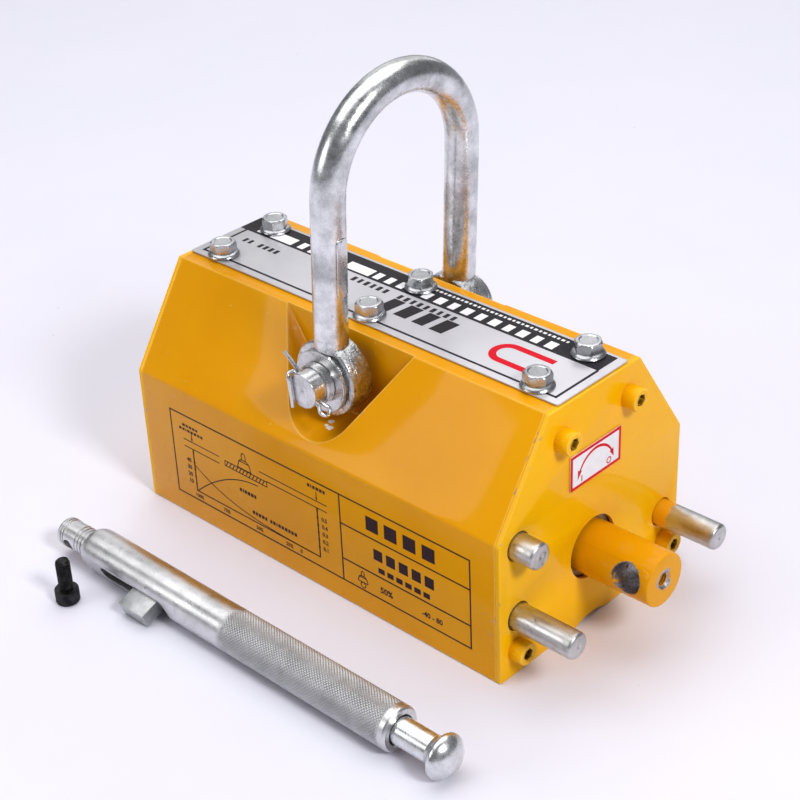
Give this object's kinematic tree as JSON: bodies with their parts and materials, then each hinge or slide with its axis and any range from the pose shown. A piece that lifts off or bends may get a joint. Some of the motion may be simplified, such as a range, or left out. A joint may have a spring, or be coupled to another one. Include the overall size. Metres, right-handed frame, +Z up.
{
  "type": "lifting magnet",
  "caption": "Hand-switched permanent lifting magnet: a flat-faced two-pole body with a hanging shackle, a switching rotor with its hub and stops, and a removable handle laid beside it.",
  "frame": {"origin": "centre of the working face, on the surface that the magnet stands on", "axes": "+X along the rotor towards its switching hub, +Y towards the rear pole, +Z up towards the shackle"},
  "size_m": [0.3143, 0.2465, 0.2721],
  "materials": {
    "yellow_paint": "semi-gloss warm yellow paint over machined steel",
    "zinc_plate": "bright zinc plate",
    "bare_steel": "turned or ground bare steel",
    "black_oxide": "black oxide",
    "aluminium": "satin aluminium",
    "bronze": "machined bearing bronze",
    "magnet": "sintered magnet, plated",
    "label": "printed adhesive label",
    "spring_steel": "drawn spring wire"
  },
  "bodies": {
    "magnet_body": {"front_pole": "yellow_paint", "rear_pole": "yellow_paint", "hub_end_plate": "yellow_paint", "blind_end_plate": "yellow_paint", "cover_screw_1": "yellow_paint", "cover_screw_2": "yellow_paint", "cover_screw_3": "yellow_paint", "cover_screw_4": "yellow_paint", "cover_screw_5": "yellow_paint", "cover_screw_6": "yellow_paint", "cover_screw_7": "yellow_paint", "cover_screw_8": "yellow_paint", "shackle_pin": "zinc_plate", "pin_washer": "zinc_plate", "pin_collar": "zinc_plate", "split_pin": "zinc_plate", "flange_bolt_1": "zinc_plate", "flange_bolt_2": "zinc_plate", "flange_bolt_3": "zinc_plate", "flange_bolt_4": "zinc_plate", "flange_bolt_5": "zinc_plate", "flange_bolt_6": "zinc_plate", "bridge_plate": "bare_steel", "stop_pin_on": "bare_steel", "stop_pin_off": "bare_steel", "lock_pin": "bare_steel", "bottom_strip": "aluminium", "top_spacer": "aluminium", "nameplate": "aluminium", "hub_bearing_block": "aluminium", "blind_bearing_block": "aluminium", "hub_bush": "bronze", "blind_bush": "bronze", "stator_magnet_1": "magnet", "stator_magnet_2": "magnet", "stator_magnet_3": "magnet", "stator_magnet_4": "magnet", "switch_label": "label"},
    "rotor": {"hub_shaft": "yellow_paint", "rotor_end_disc": "bare_steel", "stub_shaft": "bare_steel", "rotor_front_segment": "bare_steel", "rotor_rear_segment": "bare_steel", "rotor_magnet": "magnet", "rotor_upper_filler": "aluminium", "rotor_lower_filler": "aluminium", "rotor_screw_1": "black_oxide", "rotor_screw_2": "black_oxide", "rotor_screw_3": "black_oxide", "rotor_screw_4": "black_oxide"},
    "shackle": {"shackle_bow": "zinc_plate"},
    "handle": {"handle_tube": "zinc_plate", "spring_seat": "bare_steel", "handle_spring": "spring_steel"},
    "plunger": {"push_rod": "zinc_plate", "push_knob": "zinc_plate", "latch_dog": "zinc_plate", "dog_pin": "bare_steel"},
    "lock_screw": {"handle_screw": "black_oxide"}
  },
  "joints": [
    {"name": "rotor_turn", "type": "hinge", "parent": "magnet_body", "child": "rotor", "pos_m": [0, 0, 0.044], "axis": [1, 0, 0], "range_deg": [-161.6, 0]},
    {"name": "shackle_swing", "type": "hinge", "parent": "magnet_body", "child": "shackle", "pos_m": [0, 0, 0.117], "axis": [0, 1, 0], "range_deg": [-68.5, 62.5]},
    {"name": "handle_lift", "type": "slide", "parent": "magnet_body", "child": "handle", "axis": [0, 0, 1], "range_m": [0, 0.05]},
    {"name": "plunger_slide", "type": "slide", "parent": "handle", "child": "plunger", "axis": [-1, 0, 0], "range_m": [0, 0.0195], "stiffness_N_per_m": 400, "springref_m": -0.02, "deforming": ["handle_spring"]},
    {"name": "screw_lift", "type": "slide", "parent": "magnet_body", "child": "lock_screw", "axis": [0, 0, 1], "range_m": [0, 0.05]}
  ]
}
